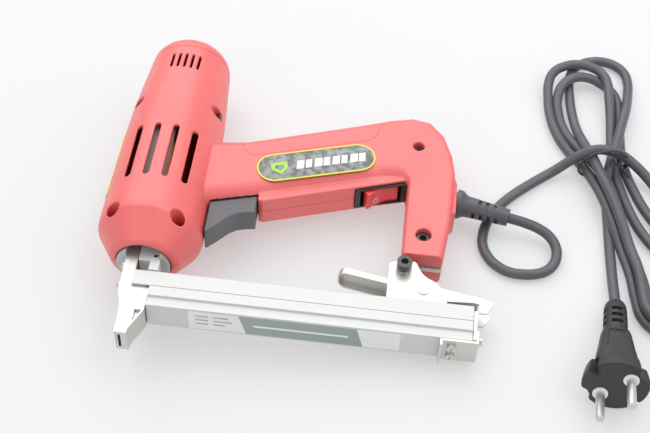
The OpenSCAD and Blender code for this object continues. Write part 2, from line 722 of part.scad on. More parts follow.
module internal_wires() {
    // Two cores from the gland to the switch and on to the board
    color("#5a4632") lay() for (z = [-2.5, 2.5]) {
        polyhedron(wire_points(z), tube_faces(len(wire_route), 6));
    }
}
wire_route = [[165.5, 122.5], [160, 126], [155, 134], [147, 145.5], [138, 150], [129, 153], [119, 154]];
function wire_points(z) = [for (i = [0:len(wire_route) - 1], j = [0:5])
    let (
        n = len(wire_route),
        t = unit(wire_route[min(i + 1, n - 1)] - wire_route[max(i - 1, 0)]), a = 60 * j
    )
    [wire_route[i][0] + 1.2 * cos(a) * t[1], wire_route[i][1] - 1.2 * cos(a) * t[0], z + 1.2 * sin(a)]];

// ---- lead, in the bench frame ----
module cord_lead() { color(black) swept(lead_route, lead_r); }
module cord_tail() { color(black) swept(tail_route, lead_r); }
module disc_at(p) { translate([p[0], p[1]]) circle(r = p[2], $fn = 32); }
module cord_hank() {
    color(black) translate([0, 0, floor_z]) linear_extrude(hank_h) {
        hull() {
            disc_at(hank_top);
            disc_at(hank_neck);
        }
        hull() {
            disc_at(hank_neck);
            disc_at(hank_foot);
        }
    }
}
module cord_tie() {
    // Twist tie over the neck of the hank, with its two twisted ends
    color(black) translate([tie_at[0], tie_at[1], floor_z]) rotate([0, 0, -18]) {
        difference() {
            box([-14, -2, 0], [14, 2, hank_h + 1]);
            box([-13, -3, -1], [13, 3, hank_h + 0.1]);
        }
        box([-1, -14, hank_h + 0.1], [1, -1.9, hank_h + 1]);
    }
}
module in_plug_frame() { translate(plug_at) rotate(plug_turn) rotate([0, 0, plug_roll]) children(); }
module plug_body() {
    profile = [
        [0, 0], [17.2, 0], [17.7, 0.8], [17.6, 2.2], [16.2, 10], [15.2, 12.2], [12.8, 12.8], [10.6, 24],
        [8.4, 35], [7, 38], [6.8, 50], [6.2, 58], [4.6, plug_l - 0.6], [lead_r, plug_l], [0, plug_l]
    ];
    color(black) in_plug_frame() difference() {
        rotate([180, 0, 0]) rotate_extrude($fn = seg) polygon(profile);
        for (s = [-1, 1]) {
            translate([s * pin_pitch / 2, 0, -9.02]) cylinder(r = pin_root_r + 0.02, h = 10, $fn = seg);
            // Side notches of the contour plug
            box([-2.6, s > 0 ? 14.2 : -20, -16], [2.6, s > 0 ? 20 : -14.2, 1]);
        }
    }
}
module plug_bushes() {
    color("white") in_plug_frame() for (s = [-1, 1]) translate([s * pin_pitch / 2, 0, 0]) difference() {
        cylinder(r = pin_d / 2 + 1.7, h = bush_h, $fn = seg);
        translate([0, 0, -1]) cylinder(r = pin_root_r + 0.02, h = bush_h + 2, $fn = seg);
    }
}
module plug_pins() {
    color(nickel) in_plug_frame() for (s = [-1, 1]) translate([s * pin_pitch / 2, 0, 0]) {
        translate([0, 0, -9]) cylinder(r = pin_root_r, h = 9 + bush_h + 0.1, $fn = seg);
        translate([0, 0, bush_h]) cylinder(r = pin_d / 2, h = pin_l - 1 - bush_h, $fn = seg);
        translate([0, 0, pin_l - 1]) cylinder(r1 = pin_d / 2, r2 = pin_d / 2 - 0.8, h = 1, $fn = seg);
    }
}

housing_upper();
housing_lower();
barrel_cap();
handle_badge();
front_badge();
housing_screws();
post_cap_screw();
foot_lug();
nose_body();
front_plate();
front_plate_screws();
nose_head_block();
set_screw();
nose_collar();
driver_blade();
plunger();
return_spring();
coil_winding();
coil_bobbin();
coil_yoke();
rear_bumper();
magazine_upper();
magazine_lower();
staple_rail();
staple_strip();
pusher();
pusher_spring();
end_plate();
end_screw();
pull_bracket();
pull_bracket_screws();
magazine_label();
latch_bracket();
latch_pin();
latch_lever();
latch_spring();
latch_cap_screw();
latch_spacers();
trigger();
trigger_spring();
micro_switch();
switch_body();
rocker();
control_board();
strain_relief();
internal_wires();
cord_lead();
cord_hank();
cord_tail();
cord_tie();
plug_body();
plug_bushes();
plug_pins();
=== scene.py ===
import json
import math

import bmesh
import bpy
from mathutils import Matrix, Vector


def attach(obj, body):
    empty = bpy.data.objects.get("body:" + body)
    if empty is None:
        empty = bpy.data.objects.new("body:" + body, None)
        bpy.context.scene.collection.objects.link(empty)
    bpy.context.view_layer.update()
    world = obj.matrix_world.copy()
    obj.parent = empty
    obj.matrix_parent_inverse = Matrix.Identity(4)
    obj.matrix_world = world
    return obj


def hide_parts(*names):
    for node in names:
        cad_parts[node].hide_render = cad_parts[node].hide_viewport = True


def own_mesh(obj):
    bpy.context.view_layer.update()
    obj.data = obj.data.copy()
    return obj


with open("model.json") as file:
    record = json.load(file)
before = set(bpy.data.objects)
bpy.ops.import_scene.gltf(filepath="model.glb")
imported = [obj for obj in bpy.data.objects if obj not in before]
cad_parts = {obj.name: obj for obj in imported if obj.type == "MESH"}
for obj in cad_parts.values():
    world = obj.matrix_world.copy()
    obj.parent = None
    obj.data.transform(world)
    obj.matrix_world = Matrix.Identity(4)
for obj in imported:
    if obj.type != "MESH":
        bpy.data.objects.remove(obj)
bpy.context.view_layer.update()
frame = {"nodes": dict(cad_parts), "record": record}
NODES = frame["nodes"]
MM = 0.001
LEAN = math.radians(5)          # the gun lies over on its barrel by this much
FLOOR_Z = -30.52 * MM           # what the gun lies on, in the frame


# ---------------------------------------------------------------- small helpers
def point(x, y, z=0.0):
    """A point of the gun's own plane, in millimetres, as metres in the frame."""
    return Vector((x * math.cos(LEAN) + z * math.sin(LEAN), y, z * math.cos(LEAN) - x * math.sin(LEAN))) * MM


def way(x, y, z=0.0):
    """A direction of the gun's own plane in the frame."""
    return (point(x, y, z) / MM).normalized()


GUN = Matrix.Rotation(LEAN, 4, "Y")     # turns the gun's own plane, in metres, into the frame


def add(name, data):
    obj = bpy.data.objects.new(name, data)
    bpy.context.scene.collection.objects.link(obj)
    return obj


def mesh_object(name, bm, smooth=35):
    """An object from a bmesh, shaded smooth across edges below an angle."""
    bmesh.ops.recalc_face_normals(bm, faces=bm.faces)
    data = bpy.data.meshes.new(name)
    for face in bm.faces:
        face.smooth = True
    for edge in bm.edges:
        if len(edge.link_faces) == 2 and edge.calc_face_angle() > math.radians(smooth):
            edge.smooth = False
    bm.to_mesh(data)
    bm.free()
    return add(name, data)


def evaluated_mesh(obj):
    """A new mesh of what an object's curve or modifiers make, shaded smooth."""
    data = bpy.data.meshes.new_from_object(obj.evaluated_get(bpy.context.evaluated_depsgraph_get()))
    for face in data.polygons:
        face.use_smooth = True
    return data


# ---------------------------------------------------------------- camera
CAMERA_AT = Vector((180.65, -364.88, 558.18)) * MM
CAMERA_LOOK = (-0.10961, 0.63071, -0.76824)     # the way it looks
CAMERA_RIGHT = (0.99266, 0.1092, -0.05198)      # the way that lies to the right in the picture
CAMERA_LENS, CAMERA_SENSOR = 69.98, 36.0        # millimetres
CAMERA_REACH = 10                               # metres


def make_camera():
    data = bpy.data.cameras.new("camera")
    data.lens, data.sensor_width = CAMERA_LENS, CAMERA_SENSOR
    data.clip_end = CAMERA_REACH
    cam = add("camera", data)
    look = Vector(CAMERA_LOOK).normalized()
    right = Vector(CAMERA_RIGHT).normalized()
    up = right.cross(look)
    turn = Matrix((right, up, -look)).transposed().to_4x4()
    cam.matrix_world = Matrix.Translation(CAMERA_AT) @ turn
    bpy.context.scene.camera = cam


make_camera()

# ---------------------------------------------------------------- the lead
CORD_D = 6.2 * MM
LOW = -27.4                     # height of the cord's middle where it lies on the floor
MID = LOW + 5.8                 # and where it lies on one other strand
TOP = LOW + 11.4                # and on two
GLAND_TILT = math.radians(12)   # how far the gland points down the handle
GLAND_END = point(207.1, 114.2) / MM
GLAND_WAY = way(math.cos(GLAND_TILT), -math.sin(GLAND_TILT))
GLAND_DEPTH = 2                 # how far the lead starts inside the gland
PLUG_END = (266.7, 60.4, -23.47)
FOOT = (304, 66)                # middle of the arcs at the hank's foot
FOOT_ARCS = ((25.2, 4, -180, LOW), (19, 22, -184, LOW), (22, 6, -184, MID))     # radius, start, stop, height
FOOT_POINTS = 8                 # points in each of those arcs


def arc(middle, radius, start, stop, heights):
    """Points of an arc in plan, in millimetres and degrees, one for each height."""
    for i, height in enumerate(heights):
        a = math.radians(start + (stop - start) * i / (len(heights) - 1))
        yield middle[0] + radius * math.cos(a), middle[1] + radius * math.sin(a), height


# From the gland, down round a loop and up over the hank's neck
LEAD_ROUTE = [
    (216, 112.2, -19.4), (225, 109.9, -22), (230.5, 106.4, -23.8), (234, 100.9, -25.4), (234.8, 94.5, -26.6),
    (232.9, 88.3, -27.2), (228.5, 83.5, LOW), (222.5, 81, LOW), (215, 80.4, LOW), (207.5, 81.6, LOW),
    (200.6, 85.6, LOW), (195, 92.2, LOW), (192, 100.5, LOW), (192, 108.5, LOW), (193.6, 116.5, LOW),
    (196.8, 124.2, LOW), (202, 132, LOW), (209, 140, LOW), (217, 147.5, LOW), (225.5, 154.5, -27.2),
    (234, 160, -25.4), (242, 163.8, -21.2), (249.5, 166, -16.2),
]
OVER_NECK = [
    (257, 166.8, -12.8), (265, 166.8, -12.6), (273, 165.6, -15), (281, 162.4, -19.4), (288.5, 157, -24),
    (295, 149, -26.8), (302, 136, LOW), (309.5, 121, LOW), (317, 105, LOW), (324, 87, LOW),
]
TURN_A = [
    (276.5, 83, LOW), (271.5, 102, -26), (267, 118, -22.5), (261.5, 137, -21.6), (256, 152, -23),
    (250, 166, -26), (242, 179, LOW), (235, 194, LOW), (231.2, 210, -27), (230.2, 222, -25.6),
    *arc((249, 231.5), 18.8, 176, 4, (-23, MID, MID, MID, MID, MID, MID)),
    (268.4, 220, -22.4), (269, 206, -25), (269, 192, -27), (269, 178, LOW), (270.4, 164, LOW),
    (273, 149, LOW), (277.6, 132, LOW), (284.6, 115, LOW), (294, 101, LOW), (304, 91, LOW), (314, 82.5, LOW),
]
TURN_B = [
    (283.2, 80, LOW), (279, 96, LOW), (275, 112, -26.5), (270.6, 129, -23), (266, 145, MID),
    (260.6, 158, -21.8), (254.5, 170, -24), (247, 182.5, -26.8), (240.4, 195, LOW), (236.8, 209, -26.8),
    *arc((255, 221), 18.8, 172, 8, (-24.6, -22, MID, -23, -25.8, -27.2, LOW)),
    (274.4, 211, LOW), (274.4, 194, LOW), (274.8, 178, LOW), (277, 162, LOW), (281.4, 147, LOW),
    (287.4, 132, LOW), (295, 118, -26), (304.4, 105, -23), (315, 92, MID), (323.4, 78.5, MID),
]
TURN_C = [
    (280.4, 83, MID), (276, 100, MID), (271, 118, -18), (265.4, 136, TOP), (260, 152, -16.4),
    (256, 167, -18.6), (251.6, 181, -22.4), (248, 195, -26), (245.4, 210, LOW), (244, 226, LOW),
    *arc((262.6, 241.5), 18.6, 180, 0, (LOW,) * 8),
    (280.6, 228, -25.8), (278.4, 212, -22.6), (274.6, 195, MID), (271.4, 180, -21.4), (268, 168, -22.6),
    (265.6, 157, -25.4), (264.6, 146, -27.2), (264.6, 134, LOW), (264.8, 126, LOW),
]
TAIL_ROUTE = [(265, 118, LOW), (265.3, 104, LOW), (265.8, 90, LOW), (266.2, 76, -26)]


def make_lead():
    """The lead's mesh, the points along its middle, from the gland to the plug, and its length."""
    route = [tuple(GLAND_END - GLAND_WAY * GLAND_DEPTH), tuple(GLAND_END)] + LEAD_ROUTE + OVER_NECK
    for (radius, start, stop, height), turn in zip(FOOT_ARCS, (TURN_A, TURN_B, TURN_C)):
        route += [*arc(FOOT, radius, start, stop, (height,) * FOOT_POINTS)] + turn
    route += TAIL_ROUTE + [PLUG_END]
    curve = bpy.data.curves.new("mains_lead", "CURVE")
    curve.dimensions = "3D"
    curve.bevel_depth = CORD_D / 2
    curve.bevel_resolution = 5
    curve.resolution_u = 8
    curve.use_fill_caps = True
    spline = curve.splines.new("BEZIER")
    spline.bezier_points.add(len(route) - 1)
    for knot, place in zip(spline.bezier_points, route):
        knot.co = Vector(place) * MM
        knot.handle_left_type = knot.handle_right_type = "AUTO"
    guide = add("lead_guide", curve)
    skin = evaluated_mesh(guide)
    curve.bevel_depth = 0
    path = [vertex.co.copy() for vertex in evaluated_mesh(guide).vertices]
    bpy.data.objects.remove(guide)
    return add("mains_lead", skin), path, sum((b - a).length for a, b in zip(path, path[1:]))


lead, LEAD_PATH, LEAD_LENGTH = make_lead()
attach(lead, "gun")
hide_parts("cord_lead", "cord_hank", "cord_tail")


# ---------------------------------------------------------------- materials
def shader(name):
    mat = bpy.data.materials.new(name)
    mat.use_nodes = True
    return mat, mat.node_tree, mat.node_tree.nodes["Principled BSDF"]


def coords(tree, scale=(1, 1, 1), turn=0.0):
    """Object coordinates in metres, turned into the gun's plane and stretched."""
    where = tree.nodes.new("ShaderNodeTexCoord")
    put = tree.nodes.new("ShaderNodeMapping")
    put.inputs["Rotation"].default_value = (0, turn, 0)
    put.inputs["Scale"].default_value = scale
    tree.links.new(where.outputs["Object"], put.inputs["Vector"])
    return put.outputs["Vector"]


def noise(tree, vector, scale, detail=3.0, rough=0.5):
    cloud = tree.nodes.new("ShaderNodeTexNoise")
    cloud.inputs["Scale"].default_value = scale
    cloud.inputs["Detail"].default_value = detail
    cloud.inputs["Roughness"].default_value = rough
    tree.links.new(vector, cloud.inputs["Vector"])
    return cloud.outputs["Fac"]


def remap(tree, value, low, high, start=0.3, stop=0.7):
    """Stretches a value that runs from start to stop so that it runs from low to high."""
    spread = tree.nodes.new("ShaderNodeMapRange")
    for socket, number in (("From Min", start), ("From Max", stop), ("To Min", low), ("To Max", high)):
        spread.inputs[socket].default_value = number
    tree.links.new(value, spread.inputs["Value"])
    return spread.outputs["Result"]


def math_node(tree, operation, *values):
    step = tree.nodes.new("ShaderNodeMath")
    step.operation = operation
    for socket, value in zip(step.inputs, values):
        if isinstance(value, (int, float)):
            socket.default_value = value
        else:
            tree.links.new(value, socket)
    return step.outputs[0]


def tint(tree, value, one, two):
    """The first colour where the value is 0, the second where it is 1."""
    mix = tree.nodes.new("ShaderNodeMix")
    mix.data_type = "RGBA"
    for socket, colour in (("A", one), ("B", two)):
        if isinstance(colour, tuple):
            mix.inputs[socket].default_value = (*colour, 1)
        else:
            tree.links.new(colour, mix.inputs[socket])
    tree.links.new(value, mix.inputs["Factor"])
    return mix.outputs["Result"]


def relief(tree, bsdf, height, strength, distance, round_edge=0.0):
    """Fine bumps, over edges that read as rounded by round_edge metres."""
    bump = tree.nodes.new("ShaderNodeBump")
    bump.inputs["Strength"].default_value = strength
    bump.inputs["Distance"].default_value = distance
    tree.links.new(height, bump.inputs["Height"])
    if round_edge:
        edge = tree.nodes.new("ShaderNodeBevel")
        edge.samples = 6
        edge.inputs["Radius"].default_value = round_edge
        tree.links.new(edge.outputs["Normal"], bump.inputs["Normal"])
    tree.links.new(bump.outputs["Normal"], bsdf.inputs["Normal"])


DUST_GREY = (0.5, 0.5, 0.5)


def moulded(name, color, rough, grain=1800, depth=0.00002, worn=0.05, spec=0.5, coat=0.0, edge=0.0003,
            dust=0.0):
    """Moulded plastic or rubber: a fine tool texture, slight shade changes, handling marks and pale dust."""
    mat, tree, bsdf = shader(name)
    bsdf.inputs["Specular IOR Level"].default_value = spec
    bsdf.inputs["Coat Weight"].default_value = coat
    bsdf.inputs["Coat Roughness"].default_value = 0.2
    place = coords(tree)
    cloud = noise(tree, place, 28, 4)
    lighter = tuple(min(1, c * (1 + worn) + worn * 0.04) for c in color)
    darker = tuple(c * (1 - worn) for c in color)
    shade = tint(tree, remap(tree, cloud, 0, 1), darker, lighter)
    if dust:
        specks = remap(tree, noise(tree, place, 900, 2, 0.7), 0, dust, 0.62, 0.8)
        shade = tint(tree, specks, shade, DUST_GREY)
    tree.links.new(shade, bsdf.inputs["Base Color"])
    smear = noise(tree, place, 120, 5, 0.6)
    tree.links.new(remap(tree, smear, rough - 0.05, rough + 0.07), bsdf.inputs["Roughness"])
    relief(tree, bsdf, noise(tree, place, grain, 2), 0.35, depth, edge)
    return mat


def metal(name, color, rough, along=(1, 1, 1), grain=900, depth=0.000002, spread=0.04, blotch=0.03,
          edge=0.0002, metallic=1.0):
    """Metal with brush marks that run where the stretch is small, and faint blotches in its finish."""
    mat, tree, bsdf = shader(name)
    bsdf.inputs["Metallic"].default_value = metallic
    brushed = noise(tree, coords(tree, along, -LEAN), grain, 3, 0.55)
    cloud = noise(tree, coords(tree), 45, 3)
    light = tuple(min(1, c * (1 + blotch)) for c in color)
    dark = tuple(c * (1 - blotch) for c in color)
    tree.links.new(tint(tree, remap(tree, cloud, 0, 1), dark, light), bsdf.inputs["Base Color"])
    tree.links.new(remap(tree, brushed, rough - spread, rough + spread), bsdf.inputs["Roughness"])
    relief(tree, bsdf, brushed, 0.08, depth, edge)
    return mat


def printed(name, colour_of, rough):
    """A printed label with faint scuffs: colour_of builds its colour."""
    mat, tree, bsdf = shader(name)
    tree.links.new(colour_of(tree), bsdf.inputs["Base Color"])
    scuff = noise(tree, coords(tree), 200, 4, 0.6)
    tree.links.new(remap(tree, scuff, rough - 0.04, rough + 0.08), bsdf.inputs["Roughness"])
    relief(tree, bsdf, noise(tree, coords(tree), 700, 2), 0.2, 0.000005)
    return mat


YELLOW = (0.78, 0.68, 0.05)
MOTTLE_DARK, MOTTLE_LIGHT = (0.13, 0.14, 0.135), (0.30, 0.31, 0.30)
FRONT_MIDDLE = 115              # the front badge's middle, up the gun
FRONT_HALF_W = 8.6              # half the width and height of its field, inside the yellow border
FRONT_HALF_H = 21.6


def mottled(tree):
    """Grey camouflage-like field of a badge."""
    blots = noise(tree, coords(tree), 240, 2, 0.4)
    return tint(tree, remap(tree, blots, 0, 1, 0.4, 0.6), MOTTLE_DARK, MOTTLE_LIGHT)


def front_colour(tree):
    """A mottled field in a yellow border, placed by the gun plane's Y and Z in millimetres."""
    split = tree.nodes.new("ShaderNodeSeparateXYZ")
    tree.links.new(coords(tree, (1000, 1000, 1000), -LEAN), split.inputs["Vector"])
    up = math_node(tree, "SUBTRACT", split.outputs["Y"], FRONT_MIDDLE)
    across = math_node(tree, "GREATER_THAN", math_node(tree, "ABSOLUTE", split.outputs["Z"]), FRONT_HALF_W)
    along = math_node(tree, "GREATER_THAN", math_node(tree, "ABSOLUTE", up), FRONT_HALF_H)
    return tint(tree, math_node(tree, "MAXIMUM", across, along), mottled(tree), YELLOW)


MATERIALS = {
    "red_abs": moulded("red_abs", (0.80, 0.138, 0.13), 0.36, grain=2400, worn=0.04, spec=0.85, edge=0.0004),
    "black_plastic": moulded("black_plastic", (0.028, 0.028, 0.03), 0.36),
    "grey_plastic": moulded("grey_plastic", (0.115, 0.113, 0.122), 0.42, grain=2200, edge=0.0005),
    "rocker_red": moulded("rocker_red", (0.72, 0.03, 0.028), 0.16, grain=800, depth=0.000008, coat=0.5),
    "nickel_steel": metal("nickel_steel", (0.64, 0.628, 0.592), 0.38, (1, 0.4, 1), 2600, metallic=0.8),
    "black_steel": moulded("black_steel", (0.03, 0.03, 0.032), 0.3, grain=1500, spec=0.8, edge=0.0002),
    "plain_steel": metal("plain_steel", (0.58, 0.58, 0.59), 0.3, (1, 1, 1), 700),
    "aluminium": metal("aluminium", (0.63, 0.63, 0.618), 0.5, (0.03, 1, 1), 1500, depth=0.000004,
                       blotch=0.015, metallic=0.25),
    "zinc": metal("zinc", (0.72, 0.72, 0.705), 0.5, (1, 1, 1), 700, 0.00001, metallic=0.3),
    "copper": metal("copper", (0.62, 0.27, 0.12), 0.3, (1, 0.02, 1), 1800),
    "nylon": moulded("nylon", (0.36, 0.32, 0.30), 0.5),
    "rubber_black": moulded("rubber_black", (0.026, 0.026, 0.029), 0.46, grain=1400, depth=0.00003,
                            worn=0.12, dust=0.06),
    "badge": printed("badge", mottled, 0.28),
    "label": moulded("label", (0.78, 0.785, 0.775), 0.36, grain=900, depth=0.000005, worn=0.01),
    "board": moulded("board", (0.03, 0.18, 0.07), 0.35),
    "white_plastic": moulded("white_plastic", (0.88, 0.88, 0.86), 0.3, grain=900),
}
EXTRA = {
    "front_badge": printed("front_badge_print", front_colour, 0.28),
    "badge_border": moulded("badge_border", YELLOW, 0.25, grain=900, depth=0.000004, worn=0.03),
    "label_green": moulded("label_green", (0.30, 0.36, 0.34), 0.34, grain=900, depth=0.000004, worn=0.05),
    "label_ink": moulded("label_ink", (0.42, 0.43, 0.42), 0.4, grain=900, depth=0.000004, worn=0.1),
    "badge_lime": moulded("badge_lime", (0.36, 0.66, 0.08), 0.28, grain=900, depth=0.000004, worn=0.05),
    "dull_steel": metal("dull_steel", (0.5, 0.51, 0.5), 0.4, metallic=0.6),
    "lamination": moulded("lamination", (0.34, 0.27, 0.27), 0.5, grain=1500, edge=0),
    "cord_grey": moulded("cord_grey", (0.088, 0.088, 0.099), 0.34, grain=1100, depth=0.00003, worn=0.12,
                         dust=0.1, edge=0),
    "line_red": moulded("line_red", (0.56, 0.075, 0.07), 0.5, edge=0),
    "mark_pink": moulded("mark_pink", (0.86, 0.42, 0.38), 0.3, grain=900, depth=0.000004),
}
SLOT_OF = {row["node"]: row["material_slot"] for row in frame["record"]["subparts"]}


def paint(obj, material):
    obj.data.materials.clear()
    obj.data.materials.append(material)


def dress(obj, material, body):
    """Gives a piece its material and the body that it rides on."""
    paint(obj, material)
    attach(obj, body)
    return obj


for node_name, cad in NODES.items():
    paint(cad, MATERIALS[SLOT_OF[node_name]])
paint(NODES["front_badge"], EXTRA["front_badge"])
paint(NODES["strain_relief"], EXTRA["cord_grey"])
paint(NODES["coil_yoke"], EXTRA["lamination"])
paint(NODES["nose_collar"], EXTRA["dull_steel"])
paint(lead, EXTRA["cord_grey"])


# ---------------------------------------------------------------- moulded shells
def softened(node, body, voxel, keep):
    """A copy of a moulded CAD node with the rounded edges of a moulding. The voxel is in millimetres."""
    copy = add("soft_" + node, NODES[node].data.copy())
    weld = copy.modifiers.new("weld", "WELD")
    weld.merge_threshold = 0.001 * MM
    remesh = copy.modifiers.new("remesh", "REMESH")
    remesh.mode = "VOXEL"
    remesh.voxel_size = voxel * MM
    smooth = copy.modifiers.new("smooth", "SMOOTH")
    smooth.factor = 0.5
    smooth.iterations = 5
    thin = copy.modifiers.new("thin", "DECIMATE")
    thin.ratio = keep
    data = evaluated_mesh(copy)
    copy.modifiers.clear()
    copy.data = data
    dress(copy, MATERIALS[SLOT_OF[node]], body)
    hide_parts(node)


softened("housing_upper", "gun", voxel=0.5, keep=0.3)
softened("housing_lower", "gun", voxel=0.5, keep=0.3)
softened("trigger", "trigger_piece", voxel=0.4, keep=0.4)


# ---------------------------------------------------------------- springs
def springy(node, body):
    """A copy of a coil spring, with a mesh of its own, that rides on a body in place of its CAD node."""
    copy = add("spring_" + node, NODES[node].data.copy())
    dress(copy, MATERIALS[SLOT_OF[node]], body)
    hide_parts(node)
    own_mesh(copy)


springy("return_spring", "gun")
springy("trigger_spring", "gun")
springy("pusher_spring", "magazine")


# ---------------------------------------------------------------- small mesh tools
def bridge(bm, rings):
    """Faces between each ring of vertices and the next."""
    for one, two in zip(rings, rings[1:]):
        for i in range(len(one)):
            j = (i + 1) % len(one)
            bm.faces.new((one[i], one[j], two[j], two[i]))


def loft(name, rings, material, body, turn=Matrix.Identity(4), smooth=35):
    """A closed tube through rings of points in metres, placed by a matrix, with both ends filled."""
    bm = bmesh.new()
    made = [[bm.verts.new(turn @ Vector(place)) for place in ring] for ring in rings]
    bridge(bm, made)
    bm.faces.new(made[0])
    bm.faces.new(list(reversed(made[-1])))
    return dress(mesh_object(name, bm, smooth), material, body)


def hoop(name, rings, material, body):
    """A closed ring through rings of points in metres: the last joins the first."""
    bm = bmesh.new()
    made = [[bm.verts.new(place) for place in ring] for ring in rings]
    bridge(bm, made + made[:1])
    return dress(mesh_object(name, bm), material, body)


PLATE_EDGE = 0.02               # height of a plate's bevel
PLATE_TOP = 0.998               # size of its top, as a part of the outline


def plate(name, outline, low, high, place, material, body):
    """A thin plate from an outline in millimetres, placed by a matrix, with its edges slightly rounded."""
    steps = ((1, low), (1, high - PLATE_EDGE), (PLATE_TOP, high))
    rings = [[Vector((x * size, y * size, z)) * MM for x, y in outline] for size, z in steps]
    return loft(name, rings, material, body, place)


def stadium(half, radius, steps=28):
    """Outline of a bar with round ends, anticlockwise."""
    out = []
    for side in (1, -1):
        for i in range(steps + 1):
            a = math.radians(-90 + 180 * i / steps)
            out.append((side * (half + radius * math.cos(a)), side * radius * math.sin(a)))
    return out


def gun_place(x, y, z, spin=0.0):
    """Places a piece at a point of the gun's own plane in millimetres, turned by spin degrees about its Z."""
    return GUN @ Matrix.Translation(Vector((x, y, z)) * MM) @ Matrix.Rotation(math.radians(spin), 4, "Z")


# ---------------------------------------------------------------- badge on the handle
BADGE = gun_place(91.5, 128.8, 14, 17.2)
BADGE_HALF, BADGE_R = 25, 10.5  # the badge is a bar with round ends
BORDER = 1.0                    # width of its border
BLOCKS = 8                      # slanted blocks in place of lettering
BLOCK_START, BLOCK_PITCH, BLOCK_SLANT, BLOCK_HALF_H = -11.7, 5.35, 0.8, 3.1
BLOCK_WIDTHS = (4.4, 3.6, 4.6, 3.8)


def badge_mark(name, outline, material, top=0.68):
    plate(name, outline, 0.5, top, BADGE, material, "gun")


def make_badge():
    outer, inner = stadium(BADGE_HALF, BADGE_R), stadium(BADGE_HALF, BADGE_R - BORDER)
    field = plate("badge_field", outer, 0.02, 0.62, BADGE, MATERIALS["badge"], "gun")
    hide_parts("handle_badge")
    section = ((outer, 0.05), (outer, 0.72), (inner, 0.78), (inner, 0.55))
    rings = [[BADGE @ (Vector((x, y, z)) * MM) for x, y in line] for line, z in section]
    hoop("badge_border", rings, EXTRA["badge_border"], "gun")
    shield = [(-27, 3.6), (-27, -1.4), (-22, -5.6), (-17, -1.4), (-17, 3.6)]
    notch = [(-24.6, 1.4), (-24.6, -0.6), (-22, -2.8), (-19.4, -0.6), (-19.4, 1.4)]
    badge_mark("badge_shield", shield, EXTRA["badge_lime"])
    badge_mark("badge_notch", notch, MATERIALS["badge"], 0.72)
    for i in range(BLOCKS):
        left = BLOCK_START + BLOCK_PITCH * i
        right = left + BLOCK_WIDTHS[i % len(BLOCK_WIDTHS)]
        badge_mark("badge_block_%d" % i, [
            (left - BLOCK_SLANT, -BLOCK_HALF_H), (right - BLOCK_SLANT, -BLOCK_HALF_H),
            (right + BLOCK_SLANT, BLOCK_HALF_H), (left + BLOCK_SLANT, BLOCK_HALF_H),
        ], MATERIALS["white_plastic"])


make_badge()

# ---------------------------------------------------------------- label on the sliding half of the magazine
LABEL_Y = 18.5                  # height of its face in the gun's plane
LABEL = GUN @ Matrix.Translation(Vector((0, LABEL_Y, 0)) * MM) @ Matrix.Rotation(math.radians(90), 4, "X")
PRINT, BAR = 0.03, 0.05         # how thick the print is, and the bar on it
LINE_HALF_H = 0.5               # half the height of a short line
# Start, end and height of the short lines
LABEL_LINES = ((38, 45, 4), (48, 56, 4), (38, 45, 0.6), (48, 58, 0.6), (38, 45, -2.8), (48, 54, -2.8))


def on_label(name, outline, thick, material):
    """A printed patch on the label: outline in the gun's X and Z in millimetres."""
    plate(name, outline, 0.0, thick, LABEL, material, "magazine")


def make_label():
    on_label("label_band", [(66, -7.9), (130, -7.9), (126, 7.9), (62, 7.9)], PRINT, EXTRA["label_green"])
    on_label("label_rule", [(70, -0.9), (122, -0.9), (121.6, 0.9), (69.6, 0.9)], BAR, MATERIALS["label"])
    for i, (start, end, z) in enumerate(LABEL_LINES):
        low, high = z - LINE_HALF_H, z + LINE_HALF_H
        on_label("label_line_%d" % i, [(start, low), (end, low), (end, high), (start, high)], PRINT,
                 EXTRA["label_ink"])


make_label()

# ---------------------------------------------------------------- mark on the rocker
MARK_W, MARK_H, MARK_WIRE = 1.5, 1.9, 0.28      # half-width and half-height of the ring, radius of its line
MARK_STEPS, MARK_SIDES = 28, 8


def make_rocker_mark():
    """The rocker's off mark: a ring on the end that stands proud."""
    pivot = gun_place(116, 117.3, 0, 17) @ Matrix.Translation(Vector((15.5, 2, 0)) * MM)
    end = Matrix.Rotation(math.radians(25.5), 4, "Z") @ Matrix.Translation(Vector((-5.9, -3.75, 0)) * MM)
    rings = []
    for i in range(MARK_STEPS):
        a = 2 * math.pi * i / MARK_STEPS
        ring = []
        for k in range(MARK_SIDES):
            b = 2 * math.pi * k / MARK_SIDES
            out, up = MARK_WIRE * math.cos(b), MARK_WIRE * math.sin(b)
            spot = Vector(((MARK_W + out) * math.cos(a), up, (MARK_H + out) * math.sin(a)))
            ring.append(pivot @ end @ (spot * MM))
        rings.append(ring)
    hoop("rocker_mark", rings, EXTRA["mark_pink"], "rocker_piece")


make_rocker_mark()

# ---------------------------------------------------------------- tie round the hank
UPRIGHT_SIDE = Vector((0.25, -0.97, 0))         # the side of a tube where it runs straight up


def tube(name, path, radius, flat, material, body, sides=10):
    """A tube along a path in millimetres, in the frame: flat is its thickness as a part of its width."""
    rings = []
    for i, middle in enumerate(path):
        ahead = (Vector(path[min(i + 1, len(path) - 1)]) - Vector(path[max(i - 1, 0)])).normalized()
        side = ahead.cross(Vector((0, 0, 1)))
        side = side.normalized() if side.length > 0.05 else UPRIGHT_SIDE
        up = side.cross(ahead).normalized()
        ring = []
        for k in range(sides):
            a = 2 * math.pi * k / sides
            out = side * radius * math.cos(a) + up * radius * flat * math.sin(a)
            ring.append((Vector(middle) + out) * MM)
        rings.append(ring)
    return loft(name, rings, material, body)


